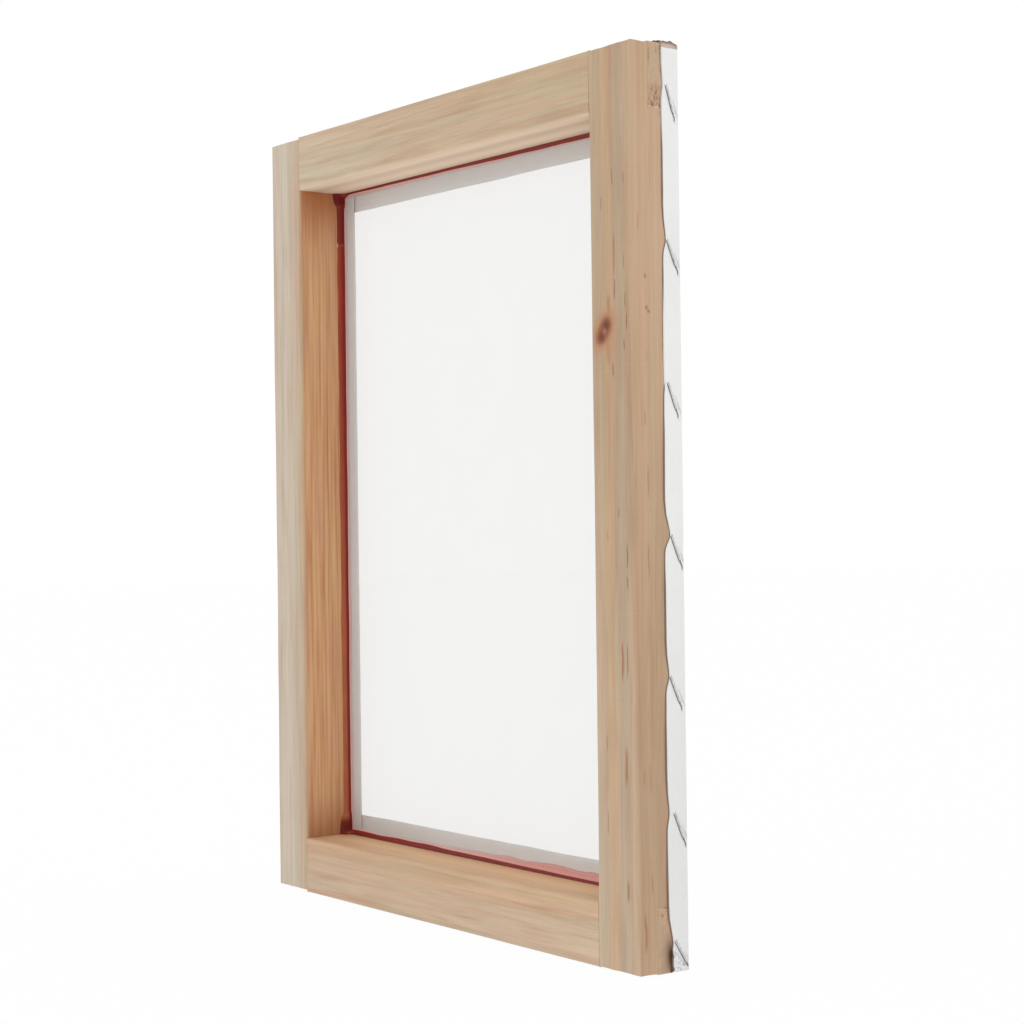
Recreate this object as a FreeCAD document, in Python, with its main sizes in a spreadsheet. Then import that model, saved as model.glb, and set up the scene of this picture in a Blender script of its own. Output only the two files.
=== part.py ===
"""Screen printing frame: four bridle-jointed pine members with a stapled, glued and taped mesh.

Frame of the model, in millimetres: X across the frame, Y through its thickness with the open
(squeegee) side at -Y and the mesh (print) side at +Y, Z up the frame. The origin is the middle
of the bottom edge, half way through the timber.
"""

import FreeCAD, Part
import math
import os

from FreeCAD import Placement, Rotation, Vector
import Sketcher

DIMENSIONS = {
    "frame_width": 313.0,         # over the two stiles
    "frame_height": 414.6,        # over the two rails
    "frame_depth": 28.5,          # thickness of the timber
    "stile_width": 29.5,
    "rail_height": 29.5,
    "tenon_thickness": 8.5,       # the middle third of the depth
    "edge_round": 1.5,            # eased long edges of the timber
    "left_end_step": 1.3,         # each end of the left stile stops this short of the rails
    "right_end_step": 0.6,
    "mesh_thickness": 0.15,
    "flap_reach": 11.0,           # how far the mesh comes round onto the outer faces
    "bead_width": 3.0,            # glue fillet, measured along the mesh
    "bead_height": 4.0,           # and up the timber
    "tape_width": 36.0,
    "tape_inside": 11.5,          # how far the tape reaches past the timber under the open mesh
    "tape_thickness": 0.12,
    "staple_crown": 12.7,
    "staple_leg": 8.0,
    "staple_wire_width": 1.2,
    "staple_wire_thickness": 0.5,
    "staple_bend": 0.9,           # outer radius of the two bends
    "staple_proud": 0.15,         # how far a crown stands out of the mesh
}

PARALLEL = 0.999  # cosine above which an edge counts as running along a direction
NEAR = 0.01       # mm within which a point counts as lying on a plane

# Hand-driven staples: (place, depth behind the middle of the timber, lean in degrees). The place
# is the height above the foot on a stile and the distance from the middle on a rail.
STILE_STAPLES = (
    (8.6, 9.0, 32.0),
    (65.0, 8.6, 23.0),
    (126.0, 7.2, 24.0),
    (189.0, 8.6, 23.0),
    (257.0, 7.6, 21.0),
    (321.0, 8.2, 23.0),
    (390.0, 8.2, 17.0),
)
RAIL_STAPLES = (
    (-118.0, 8.2, 20.0),
    (-60.0, 7.8, 24.0),
    (1.0, 8.4, 22.0),
    (59.0, 7.9, 19.0),
    (119.0, 8.3, 23.0),
)

doc = FreeCAD.newDocument("screen_printing_frame")
sheet = doc.addObject("Spreadsheet::Sheet", "sizes")


def fill_sheet():
    """One row for each driving dimension: its name, then its value under the same alias."""
    for row, (alias, value) in enumerate(DIMENSIONS.items(), start=1):
        sheet.set(f"A{row}", alias)
        sheet.set(f"B{row}", str(value))
        sheet.setAlias(f"B{row}", alias)
    doc.recompute()


def size(alias):
    """A driving dimension as a number, for placements and shapes set in code."""
    return float(getattr(sheet, alias))


def bind(item, **expressions):
    """Ties properties to the sheet: inside an expression a name such as <frame_width> is a cell."""
    for name, text in expressions.items():
        for alias in DIMENSIONS:
            text = text.replace(f"<{alias}>", f"{sheet.Name}.{alias}")
        item.setExpression(name.replace("__", "."), text)


def new_body(label, placement=None):
    body = doc.addObject("PartDesign::Body", label)
    body.Label = label
    if placement:
        body.Placement = placement
    return body


def new_sketch(body, name, plane_role):
    """An empty sketch on one of the body's own origin planes."""
    plane = next(p for p in body.Origin.OriginFeatures if p.Role == plane_role)
    sketch = body.newObject("Sketcher::SketchObject", name)
    sketch.AttachmentSupport = [(plane, "")]
    sketch.MapMode = "FlatFace"
    return sketch


def rectangle(sketch, width, height):
    """A rectangle centred on the sketch's origin, its sides tied to two expressions."""
    corners = [Vector(-1, -1, 0), Vector(1, -1, 0), Vector(1, 1, 0), Vector(-1, 1, 0)]
    for index, corner in enumerate(corners):
        sketch.addGeometry(Part.LineSegment(corner, corners[(index + 1) % 4]))
    for index in range(4):
        sketch.addConstraint(Sketcher.Constraint("Coincident", index, 2, (index + 1) % 4, 1))
    for index, kind in enumerate(("Horizontal", "Vertical", "Horizontal", "Vertical")):
        sketch.addConstraint(Sketcher.Constraint(kind, index))
    sketch.addConstraint(Sketcher.Constraint("Symmetric", 0, 1, 1, 2, -1, 1))
    wide = sketch.addConstraint(Sketcher.Constraint("DistanceX", 0, 1, 0, 2, 2.0))
    tall = sketch.addConstraint(Sketcher.Constraint("DistanceY", 1, 1, 1, 2, 2.0))
    sketch.renameConstraint(wide, "wide")
    sketch.renameConstraint(tall, "tall")
    bind(sketch, Constraints__wide=width, Constraints__tall=height)


def pad(body, name, sketch, length):
    """Pads a sketch by half the length to each side of its plane."""
    feature = body.newObject("PartDesign::Pad", name)
    feature.Profile = sketch
    feature.SideType = "Symmetric"
    bind(feature, Length=length)
    return feature


def pocket_through(body, name, sketch):
    """Cuts a sketch right through the body, to both sides of its plane."""
    doc.recompute()
    uncut = body.Shape.Volume
    feature = body.newObject("PartDesign::Pocket", name)
    feature.Profile = sketch
    feature.Type = "ThroughAll"
    feature.SideType = "Symmetric"
    doc.recompute()
    if not body.Shape.Volume < uncut:
        raise RuntimeError(f"{name} cut nothing")
    return feature


def round_edges(body, name, base, radius, wanted):
    """Fillets those straight edges of a feature that the test picks."""
    doc.recompute()
    names = [f"Edge{i}" for i, edge in enumerate(base.Shape.Edges, start=1) if wanted(edge)]
    feature = body.newObject("PartDesign::Fillet", name)
    feature.Base = (base, names)
    bind(feature, Radius=radius)
    return feature


def runs_along(direction):
    """A test for edges parallel to a direction."""
    return lambda edge: abs(edge.tangentAt(edge.FirstParameter).dot(direction)) > PARALLEL


def stile(label, side, end_step):
    """A full-height member with an open mortise in each end. side is -1 left, +1 right."""
    x = side * (size("frame_width") - size("stile_width")) / 2
    body = new_body(f"{label}_timber", Placement(Vector(x, 0, size("frame_height") / 2), Rotation()))
    length = f"<frame_height> - 2 * <{end_step}>"
    section = new_sketch(body, f"{label}_section", "XY_Plane")
    rectangle(section, "<stile_width>", "<frame_depth>")
    blank = pad(body, f"{label}_blank", section, length)
    round_edges(body, f"{label}_eased", blank, "<edge_round>", runs_along(Vector(0, 0, 1)))
    for end, sign in (("top", 1), ("foot", -1)):
        outline = new_sketch(body, f"{label}_{end}_mortise_outline", "YZ_Plane")
        rectangle(outline, "<tenon_thickness>", f"2 * (<rail_height> - <{end_step}>)")
        bind(outline, AttachmentOffset__Base__y=f"{sign} * ({length}) / 2")
        pocket_through(body, f"{label}_{end}_mortise", outline)
    return body


def rail(label, z):
    """A cross member with a tenon through each stile, centred at height z."""
    body = new_body(f"{label}_timber", Placement(Vector(0, 0, z), Rotation()))
    section = new_sketch(body, f"{label}_section", "YZ_Plane")
    rectangle(section, "<frame_depth>", "<rail_height>")
    blank = pad(body, f"{label}_blank", section, "<frame_width> - 2 * <stile_width>")
    round_edges(body, f"{label}_eased", blank, "<edge_round>", runs_along(Vector(1, 0, 0)))
    tenon_section = new_sketch(body, f"{label}_tenon_section", "YZ_Plane")
    rectangle(tenon_section, "<tenon_thickness>", "<rail_height>")
    pad(body, f"{label}_tenons", tenon_section, "<frame_width>")
    return body


def side_placement(side):
    """Carries something made on the right-hand outer face round to another side of the frame."""
    middle = size("frame_height") / 2
    half_width = size("frame_width") / 2
    up = Vector(0, 1, 0)
    return {
        "right": Placement(Vector(half_width, 0, middle), Rotation()),
        "left": Placement(Vector(-half_width, 0, middle), Rotation(up, 180)),
        "top": Placement(Vector(0, 0, size("frame_height")), Rotation(up, -90)),
        "bottom": Placement(Vector(0, 0, 0), Rotation(up, 90)),
    }[side]


def mesh_flap(side, length):
    """The mesh where it turns over the rounded edge and lies on an outer face.

    Its section is drawn for the right-hand side, with X from the outer face and Y from the
    middle of the timber: a quarter ring, then a straight leg towards the open side.
    """
    label = f"mesh_flap_{side}"
    radius, skin = size("edge_round"), size("mesh_thickness")
    back = size("frame_depth") / 2
    centre = Vector(-radius, back - radius, 0)
    front = back - size("flap_reach")
    body = new_body(f"{label}_cloth", side_placement(side))
    section = new_sketch(body, f"{label}_section", "XY_Plane")
    axis = Vector(0, 0, 1)
    quarter = math.pi / 2
    section.addGeometry(Part.ArcOfCircle(Part.Circle(centre, axis, radius), 0, quarter))
    section.addGeometry(Part.ArcOfCircle(Part.Circle(centre, axis, radius + skin), 0, quarter))
    section.addGeometry(Part.LineSegment(Vector(0, centre.y, 0), Vector(0, front, 0)))
    section.addGeometry(Part.LineSegment(Vector(0, front, 0), Vector(skin, front, 0)))
    section.addGeometry(Part.LineSegment(Vector(skin, front, 0), Vector(skin, centre.y, 0)))
    section.addGeometry(Part.LineSegment(Vector(centre.x, back, 0), Vector(centre.x, back + skin, 0)))
    inner, outer, leg, hem, face, seam = range(6)
    for first, first_end, second, second_end in (
        (inner, 2, seam, 1), (seam, 2, outer, 2), (outer, 1, face, 2), (face, 1, hem, 2),
        (hem, 1, leg, 2), (leg, 1, inner, 1),
    ):
        section.addConstraint(
            Sketcher.Constraint("Coincident", first, first_end, second, second_end))
    section.addConstraint(Sketcher.Constraint("Coincident", inner, 3, outer, 3))
    for line in (leg, face, seam):
        section.addConstraint(Sketcher.Constraint("Vertical", line))
    section.addConstraint(Sketcher.Constraint("Horizontal", hem))
    section.addConstraint(Sketcher.Constraint("PointOnObject", leg, 2, -2))
    section.addConstraint(Sketcher.Constraint("Horizontal", inner, 3, inner, 1))
    section.addConstraint(Sketcher.Constraint("Vertical", inner, 3, inner, 2))
    section.addConstraint(Sketcher.Constraint("Horizontal", outer, 3, outer, 1))
    sizes = (
        ("bend", "Radius", (inner,), radius, "<edge_round>"),
        ("skin", "DistanceX", (hem, 1, hem, 2), skin, "<mesh_thickness>"),
        ("back", "DistanceY", (-1, 1, inner, 2), back, "<frame_depth> / 2"),
        ("front", "DistanceY", (hem, 1, inner, 2), back - front, "<flap_reach>"),
    )
    for name, kind, points, value, expression in sizes:
        index = section.addConstraint(Sketcher.Constraint(kind, *points, value))
        section.renameConstraint(index, name)
        bind(section, **{f"Constraints__{name}": expression})
    pad(body, f"{label}_run", section, length)
    return body


def box(label, length, width, height, x, y, z):
    """A plain box: its sizes along X, Y and Z, then its lowest corner."""
    item = doc.addObject("Part::Box", label)
    item.Label = label
    bind(item, Length=length, Width=width, Height=height)
    bind(item, Placement__Base__x=x, Placement__Base__y=y, Placement__Base__z=z)
    return item


def mesh_panel():
    """The stretched mesh across the print side, up to where it turns over the edges."""
    return box(
        "mesh_panel",
        "<frame_width> - 2 * <edge_round>",
        "<mesh_thickness>",
        "<frame_height> - 2 * <edge_round>",
        "<edge_round> - <frame_width> / 2",
        "<frame_depth> / 2",
        "<edge_round>",
    )


def glue_bead():
    """A fillet of glue round the inner corner of timber and mesh: a block less a tapered well."""
    opening_width = "<frame_width> - 2 * <stile_width>"
    opening_height = "<frame_height> - 2 * <rail_height>"
    blank = box(
        "glue_blank", opening_width, "<bead_height>", opening_height,
        "<stile_width> - <frame_width> / 2", "<frame_depth> / 2 - <bead_height>", "<rail_height>",
    )
    well = doc.addObject("Part::Wedge", "glue_well")
    bind(
        well,
        Xmin="0", Xmax=opening_width, Zmin="0", Zmax=opening_height, Ymin="0", Ymax="<bead_height>",
        X2min="<bead_width>", X2max=f"{opening_width} - <bead_width>",
        Z2min="<bead_width>", Z2max=f"{opening_height} - <bead_width>",
    )
    bind(
        well,
        Placement__Base__x="<stile_width> - <frame_width> / 2",
        Placement__Base__y="<frame_depth> / 2 - <bead_height>",
        Placement__Base__z="<rail_height>",
    )
    return cut("glue_bead", blank, well)


def sealing_tapes():
    """Four strips over the edge of the timber on the print side, the upright pair full height."""
    back = "<frame_depth> / 2 + <mesh_thickness>"
    inside = "(<stile_width> + <tape_inside>)"
    margin = f"({inside} - <tape_width>)"
    tall = f"<frame_height> - 2 * {margin}"
    across = f"<frame_width> - 2 * {inside}"
    upright_x = {
        "left": f"{margin} - <frame_width> / 2",
        "right": f"<frame_width> / 2 - {inside}",
    }
    cross_z = {"bottom": margin, "top": f"<frame_height> - {inside}"}
    strips = []
    for side, x in upright_x.items():
        name = f"sealing_tape_{side}"
        strips.append(box(name, "<tape_width>", "<tape_thickness>", tall, x, back, margin))
    for side, z in cross_z.items():
        name = f"sealing_tape_{side}"
        x = f"{inside} - <frame_width> / 2"
        strips.append(box(name, across, "<tape_thickness>", "<tape_width>", x, back, z))
    return strips


def staple():
    """One wire staple, crown up Z with its outer face at X = 0 and its legs towards -X."""
    body = new_body("staple")
    outline = new_sketch(body, "staple_outline", "XZ_Plane")
    rectangle(outline, "<staple_leg>", "<staple_crown>")
    bind(outline, AttachmentOffset__Base__x="-<staple_leg> / 2")
    pad(body, "staple_blank", outline, "<staple_wire_width>")
    gap = new_sketch(body, "staple_gap", "XZ_Plane")
    rectangle(gap, "<staple_leg>", "<staple_crown> - 2 * <staple_wire_thickness>")
    bind(gap, AttachmentOffset__Base__x="-<staple_wire_thickness> - <staple_leg> / 2")
    bent = pocket_through(body, "staple_legs", gap)
    across = runs_along(Vector(0, 1, 0))
    outer = round_edges(
        body, "staple_outer_bends", bent, "<staple_bend>",
        lambda edge: across(edge) and edge.Vertexes[0].X > -NEAR)
    inner_x = -size("staple_wire_thickness")
    leg_z = size("staple_crown") / 2 - size("staple_wire_thickness")
    round_edges(
        body, "staple_inner_bends", outer, "<staple_bend> - <staple_wire_thickness>",
        lambda edge: across(edge) and abs(edge.Vertexes[0].X - inner_x) < NEAR
        and abs(abs(edge.Vertexes[0].Z) - leg_z) < NEAR)
    doc.recompute()
    return body


def staple_group(side, pattern, middle, wire):
    """One side's staples as separate solids. middle is where the pattern is measured from."""
    out = size("mesh_thickness") + size("staple_proud")
    carried = side_placement(side)
    solids = []
    for place, depth, lean in pattern:
        local = Placement(Vector(out, depth, place - middle), Rotation(Vector(1, 0, 0), lean))
        copy = wire.Shape.copy()
        copy.Placement = carried.multiply(local)
        solids.append(copy)
    group = doc.addObject("Part::Feature", f"staples_{side}")
    group.Label = f"staples_{side}"
    group.Shape = Part.Compound(solids)
    return group


def cut(label, base, tool):
    item = doc.addObject("Part::Cut", label)
    item.Label = label
    item.Base = base
    item.Tool = tool
    return item


def build():
    """Makes every sub-part and returns the ones that are written out."""
    fill_sheet()
    half_rail = size("rail_height") / 2
    timbers = {
        "left": ("left_stile", stile("left_stile", -1, "left_end_step")),
        "right": ("right_stile", stile("right_stile", 1, "right_end_step")),
        "top": ("top_rail", rail("top_rail", size("frame_height") - half_rail)),
        "bottom": ("bottom_rail", rail("bottom_rail", half_rail)),
    }
    wire = staple()
    middle = size("frame_height") / 2
    parts = [mesh_panel(), glue_bead(), *sealing_tapes()]
    for side, (label, timber) in timbers.items():
        upright = side in ("left", "right")
        pattern, measured_from = (STILE_STAPLES, middle) if upright else (RAIL_STAPLES, 0.0)
        along = "<frame_height>" if upright else "<frame_width>"
        staples = staple_group(side, pattern, measured_from, wire)
        cloth = mesh_flap(side, f"{along} - 2 * <edge_round>")
        parts += [cut(label, timber, staples), cut(f"mesh_flap_{side}", cloth, staples), staples]
    doc.recompute()
    return parts


def check(parts):
    """Stops with a message if any object failed or any sub-part's shape isn't sound."""
    for item in doc.Objects:
        if {"Invalid", "Error"} & set(item.State):
            raise RuntimeError(f"{item.Label} failed: {item.State}")
    for item in parts:
        if item.Shape.isNull() or not item.Shape.isValid():
            raise RuntimeError(f"{item.Label} has no valid shape")


def write(parts):
    os.makedirs("parts", exist_ok=True)
    for item in parts:
        item.Shape.exportStep(f"parts/{item.Label}.step")
        bounds = item.Shape.BoundBox
        print(
            f"{item.Label:22s} solids {len(item.Shape.Solids):2d}  volume {item.Shape.Volume:10.1f}"
            f"  {bounds.XLength:6.1f} x {bounds.YLength:5.2f} x {bounds.ZLength:6.1f}")


sub_parts = build()
check(sub_parts)
write(sub_parts)
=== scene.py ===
"""Looks of a screen printing frame: pine members, stretched mesh, staples, glue bead and tape.

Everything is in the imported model's frame: X across the frame, Y through its thickness with the
open side at -Y and the mesh side at +Y, Z up. Sizes here are in millimetres, worked out from the
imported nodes, and points become metres when a piece is made.
"""

import math

import bmesh
import bpy
from mathutils import Matrix, Vector, noise


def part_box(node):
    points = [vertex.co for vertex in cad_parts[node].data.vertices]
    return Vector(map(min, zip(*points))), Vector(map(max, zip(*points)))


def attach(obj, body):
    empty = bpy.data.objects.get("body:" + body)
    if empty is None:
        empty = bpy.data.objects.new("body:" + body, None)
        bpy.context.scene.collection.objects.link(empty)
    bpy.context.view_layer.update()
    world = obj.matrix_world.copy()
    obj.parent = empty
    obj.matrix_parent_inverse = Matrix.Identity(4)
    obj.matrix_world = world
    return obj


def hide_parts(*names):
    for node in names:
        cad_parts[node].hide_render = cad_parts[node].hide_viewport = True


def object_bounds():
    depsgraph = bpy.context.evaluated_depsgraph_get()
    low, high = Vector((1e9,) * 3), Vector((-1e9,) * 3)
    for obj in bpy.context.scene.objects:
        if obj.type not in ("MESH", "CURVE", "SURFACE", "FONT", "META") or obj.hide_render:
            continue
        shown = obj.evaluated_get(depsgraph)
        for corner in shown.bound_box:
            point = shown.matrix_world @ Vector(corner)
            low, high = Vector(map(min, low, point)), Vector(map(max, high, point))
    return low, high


MM = 0.001  # metres in a millimetre

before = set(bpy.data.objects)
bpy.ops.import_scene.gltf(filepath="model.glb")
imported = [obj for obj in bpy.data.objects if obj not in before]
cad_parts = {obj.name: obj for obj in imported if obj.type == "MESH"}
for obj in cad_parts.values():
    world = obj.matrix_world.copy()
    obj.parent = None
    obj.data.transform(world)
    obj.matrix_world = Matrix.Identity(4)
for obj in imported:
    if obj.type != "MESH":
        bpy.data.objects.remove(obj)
cad_low, cad_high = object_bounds()


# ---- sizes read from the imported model


def box_mm(node):
    """A node's lowest and highest corner in millimetres."""
    low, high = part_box(node)
    return low / MM, high / MM


LEFT_LOW, LEFT_HIGH = box_mm("left_stile")
RIGHT_LOW, RIGHT_HIGH = box_mm("right_stile")
TOP_LOW, TOP_HIGH = box_mm("top_rail")
BOTTOM_LOW, BOTTOM_HIGH = box_mm("bottom_rail")
PANEL_LOW, PANEL_HIGH = box_mm("mesh_panel")
FLAP_LOW = box_mm("mesh_flap_right")[0]

HALF_WIDTH = TOP_HIGH.x                 # middle to the outer face of a stile
HEIGHT = TOP_HIGH.z
HALF_DEPTH = TOP_HIGH.y                 # middle to the back face of the timber
OPEN_X = RIGHT_LOW.x                    # middle to the inner face of a stile
OPEN_LOW, OPEN_HIGH = BOTTOM_HIGH.z, TOP_LOW.z
EDGE_ROUND = HALF_WIDTH - PANEL_HIGH.x  # radius of the eased long edges
SKIN = PANEL_HIGH.y - PANEL_LOW.y       # thickness of the mesh
HALF_TENON = 4.25                       # half the tenon's thickness
FLAP_FRONT = FLAP_LOW.y                 # how far forward the mesh comes on the outer faces


# ---- small tools


def tone(red, green, blue):
    """A colour given as it looks on a screen, 0 to 255, turned into linear light."""
    def linear(value):
        value /= 255
        return value / 12.92 if value <= 0.04045 else ((value + 0.055) / 1.055) ** 2.4

    return (linear(red), linear(green), linear(blue), 1)


def smooth(low, high, value):
    """0 below low, 1 above high and an even curve in between."""
    share = min(1, max(0, (value - low) / (high - low)))
    return share * share * (3 - 2 * share)


def drift(seed, *place):
    """Even noise from about -1 to 1 at a place, the same on every run."""
    x, y, z = (*place, 0, 0)[:3]
    return 2 * noise.noise(Vector((x + 17.3 * seed, y - 9.1 * seed, z + 5.7 * seed)))


def bell(offset, reach):
    """1 at offset 0, falling away evenly and nearly nothing at twice the reach."""
    return math.exp(-((offset / reach) ** 2))


def grid_lines(stops, step, fine=(), fine_step=0.7):
    """Grid lines through every stop, about a step apart, and closer inside the fine stretches."""
    marks = sorted({*stops, *(end for stretch in fine for end in stretch)})
    marks = [mark for mark in marks if min(stops) <= mark <= max(stops)]
    lines = [marks[0]]
    for low, high in zip(marks, marks[1:]):
        middle = (low + high) / 2
        close = any(start < middle < end for start, end in fine)
        parts = max(1, round((high - low) / (fine_step if close else step)))
        lines += [low + (high - low) * part / parts for part in range(1, parts + 1)]
    return lines


def place_piece(item, slot, *nodes):
    """Puts a finished piece on the frame's one body, in place of its CAD nodes, which it hides. slot is
    not used.
    """
    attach(item, "root")
    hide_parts(*nodes)
    return item


def new_piece(name, points, faces, material, is_smooth=True):
    """A mesh object from points in millimetres."""
    mesh = bpy.data.meshes.new(name)
    mesh.from_pydata([Vector(point) * MM for point in points], [], faces)
    mesh.polygons.foreach_set("use_smooth", [is_smooth] * len(mesh.polygons))
    mesh.materials.append(material)
    mesh.validate()
    item = bpy.data.objects.new(name, mesh)
    bpy.context.scene.collection.objects.link(item)
    return item


def grid_faces(rows, columns, first=0, tube=False, ring=False):
    """Faces between rows of points. A tube's rows and a ring's columns are closed."""
    faces = []
    for row in range(rows if ring else rows - 1):
        for column in range(columns if tube else columns - 1):
            a = first + row * columns + column
            b = first + row * columns + (column + 1) % columns
            over = ((row + 1) % rows - row) * columns
            faces.append((a, b, b + over, a + over))
    return faces


def paint_points(item, name, values):
    """One number at each point, which a material reads by its name."""
    layer = item.data.attributes.new(name, "FLOAT", "POINT")
    layer.data.foreach_set("value", values)


# ---- material graphs


class Value:
    """A number or colour that varies over a material, kept as a node's output."""

    def __init__(self, graph, socket):
        self.graph, self.socket = graph, socket

    def __add__(self, other):
        return self.graph.math("ADD", self, other)

    def __sub__(self, other):
        return self.graph.math("SUBTRACT", self, other)

    def __rsub__(self, other):
        return self.graph.math("SUBTRACT", other, self)

    def __mul__(self, other):
        return self.graph.math("MULTIPLY", self, other)

    def __abs__(self):
        return self.graph.math("ABSOLUTE", self)

    def scaled(self, factor, shift):
        """The number times a factor, plus a shift."""
        return self.graph.math("MULTIPLY_ADD", self, factor, shift)

    def at_least(self, other):
        """The larger of two numbers."""
        return self.graph.math("MAXIMUM", self, other)

    def between(self, low, high, start=0, end=1):
        """start where the number is below low, end above high, and an even curve in between."""
        return self.graph.value(
            "MapRange", enumerate((self, low, high, start, end)), interpolation_type="SMOOTHSTEP")

    def under(self, shade, share):
        """This colour with a share of another laid over it."""
        return self.graph.mix(share, self, shade)

    def tinted(self, tint, share=1):
        """This colour multiplied by a share of a tint."""
        return self.graph.mix(share, self, tint, "MULTIPLY")


class Graph:
    """Short calls for a material's nodes. An input may be a number, a colour or a Value."""

    def __init__(self, name):
        self.material = bpy.data.materials.new(name)
        self.material.use_nodes = True
        self.tree = self.material.node_tree
        self.tree.nodes.clear()
        output = self.node("OutputMaterial")
        self.shader = self.node("BsdfPrincipled")
        self.tree.links.new(self.shader.outputs[0], output.inputs["Surface"])

    def node(self, kind, inputs=(), **settings):
        """A node with its settings, and its sockets fed from pairs of socket and input."""
        made = self.tree.nodes.new(f"ShaderNode{kind}")
        for name, setting in settings.items():
            setattr(made, name, setting)
        for socket, value in inputs:
            self.feed(made.inputs[socket], value)
        return made

    def feed(self, socket, value):
        if isinstance(value, Value):
            self.tree.links.new(value.socket, socket)
        else:
            socket.default_value = value

    def value(self, kind, inputs, output=0, **settings):
        return Value(self, self.node(kind, inputs, **settings).outputs[output])

    def finish(self, **values):
        """Feeds the shader's sockets, named with _ for each space, and returns the material."""
        for name, value in values.items():
            self.feed(self.shader.inputs[name.replace("_", " ")], value)
        return self.material

    def math(self, operation, *values):
        return self.value("Math", enumerate(values), operation=operation)

    def split(self, vector):
        """A vector's three parts."""
        parts = self.node("SeparateXYZ", [(0, vector)])
        return [Value(self, part) for part in parts.outputs]

    def place(self):
        """The point's place on the object in millimetres, as three numbers."""
        on_object = self.value("TexCoord", (), "Object")
        return self.split(self.value(
            "VectorMath", [(0, on_object), ("Scale", 1 / MM)], operation="SCALE"))

    def normal(self):
        """The surface's direction, as three numbers."""
        return self.split(self.value("NewGeometry", (), "Normal"))

    def noise(self, place, sizes, shift=0, detail=2, roughness=0.5):
        """Noise whose detail has a size in millimetres along each axis of a place."""
        scaled = [
            self.math("MULTIPLY_ADD", part, 1 / size, shift) for part, size in zip(place, sizes)]
        vector = self.value("CombineXYZ", enumerate(scaled))
        return self.value("TexNoise", [
            ("Vector", vector), ("Scale", 1), ("Detail", detail), ("Roughness", roughness)])

    def mix(self, share, first, second, blend="MIX"):
        return self.value(
            "Mix", [(0, share), (6, first), (7, second)], 2,
            data_type="RGBA", blend_type=blend, clamp_factor=True)

    def ramp(self, value, stops):
        """Colours at places from 0 to 1."""
        made = self.node("ValToRGB", [(0, value)])
        points = made.color_ramp.elements
        while len(points) < len(stops):
            points.new(1)
        for point, (position, colour) in zip(points, stops):
            point.position = position
            point.color = colour
        return Value(self, made.outputs[0])

    def grey(self, value):
        """A number as a grey, for multiplying a colour."""
        return self.value("CombineColor", enumerate((value, value, value)))

    def attribute(self, name):
        return self.value("Attribute", (), "Fac", attribute_name=name)

    def bump(self, height, depth):
        """A bump whose height of 1 stands depth millimetres."""
        return self.value("Bump", [("Strength", 1), ("Distance", depth * MM), ("Height", height)])

    def falloff(self, *terms):
        """exp of minus the sum of the squares of (value - centre) / reach."""
        total = 0
        for value, centre, reach in terms:
            offset = value.scaled(1 / reach, -centre / reach)
            total = offset.scaled(offset, total)
        return self.math("EXPONENT", total * -1)


# ---- pine

KNOT_X, KNOT_Z = 135.8, 286.9   # the middle of the right stile's knot
KNOT_REACH = 4.9                # its mean radius
KNOT_LONG, KNOT_SHORT = 1.3, 0.82   # its long and short radius over the mean one
KNOT_LEAN = math.radians(54)    # its long axis, from X towards Z
KNOT_LOBES = ((137.7, 289.4, 3.3), (133.9, 284, 3.1))   # (x, z, reach) of its two dark hearts
KNOT_PUSH = (7, 17, 0.72)       # how far across and along it bends the grain aside, and how much
LINE_DEPTH = 1.5                # how far from its face a streak or a dot reaches into the wood


def add_knot(graph, colour, across, along, place):
    """Lays the knot, its two dark hearts and the stain round it over the wood's colour."""
    rough = graph.noise(place, (2, 2, 2), detail=4, roughness=0.6)
    side, rise = across - KNOT_X, along - KNOT_Z
    cosine, sine = math.cos(KNOT_LEAN), math.sin(KNOT_LEAN)
    long_way = side.scaled(cosine, rise * sine) * (1 / (KNOT_LONG * KNOT_REACH))
    short_way = side.scaled(-sine, rise * cosine) * (1 / (KNOT_SHORT * KNOT_REACH))
    oval = graph.math("SQRT", long_way.scaled(long_way, short_way * short_way))
    distance = rough.scaled(0.6, oval - 0.3)
    colour = colour.under(tone(184, 128, 92), distance.between(0.7, 2.3, 0.75, 0))
    colour = colour.under(tone(156, 98, 72), distance.between(0.6, 1.3, 0.9, 0))
    for x, z, reach in KNOT_LOBES:
        lobe = graph.falloff((across, x, reach), (along, z, reach)) * rough.between(0.25, 0.6, 0.7, 1)
        colour = colour.under(tone(104, 54, 38), lobe * 0.95)
    speck = graph.falloff((across, KNOT_X + 0.4, 0.8), (along, KNOT_Z - 0.3, 0.9))
    return colour.under(tone(186, 140, 120), speck * 0.7)


def add_streaks(graph, colour, place, streaks, shade):
    """Lays thin lines of one shade along the grain: (across, through, from, to, reach, strength).

    A streak at the member's outer face runs at its place through, the others at their place across.
    """
    across, through, along = place
    sway = graph.noise(place, (9, 9, 9)).scaled(1.8, -0.9)
    swayed_across = across + sway
    swayed_through = through + sway
    for near, deep, start, end, reach, strength in streaks:
        if near == HALF_WIDTH:
            spot = graph.falloff((across, near, LINE_DEPTH), (swayed_through, deep, reach))
        else:
            spot = graph.falloff((swayed_across, near, reach), (through, deep, LINE_DEPTH))
        taper = 0.3 * (end - start)
        ends = along.between(start - 1, start + taper) * along.between(end - taper, end + 1, 1, 0)
        colour = colour.under(shade, spot * ends * strength)
    return colour


def add_washes(graph, colour, place, washes):
    """Lays soft patches of colour over a colour, stains and in places painted light and shade: (x, y,
    z), (reach in x, y, z), strength, shade.
    """
    for centre, reaches, strength, shade in washes:
        colour = colour.under(shade, graph.falloff(*zip(place, centre, reaches)) * strength)
    return colour


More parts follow.
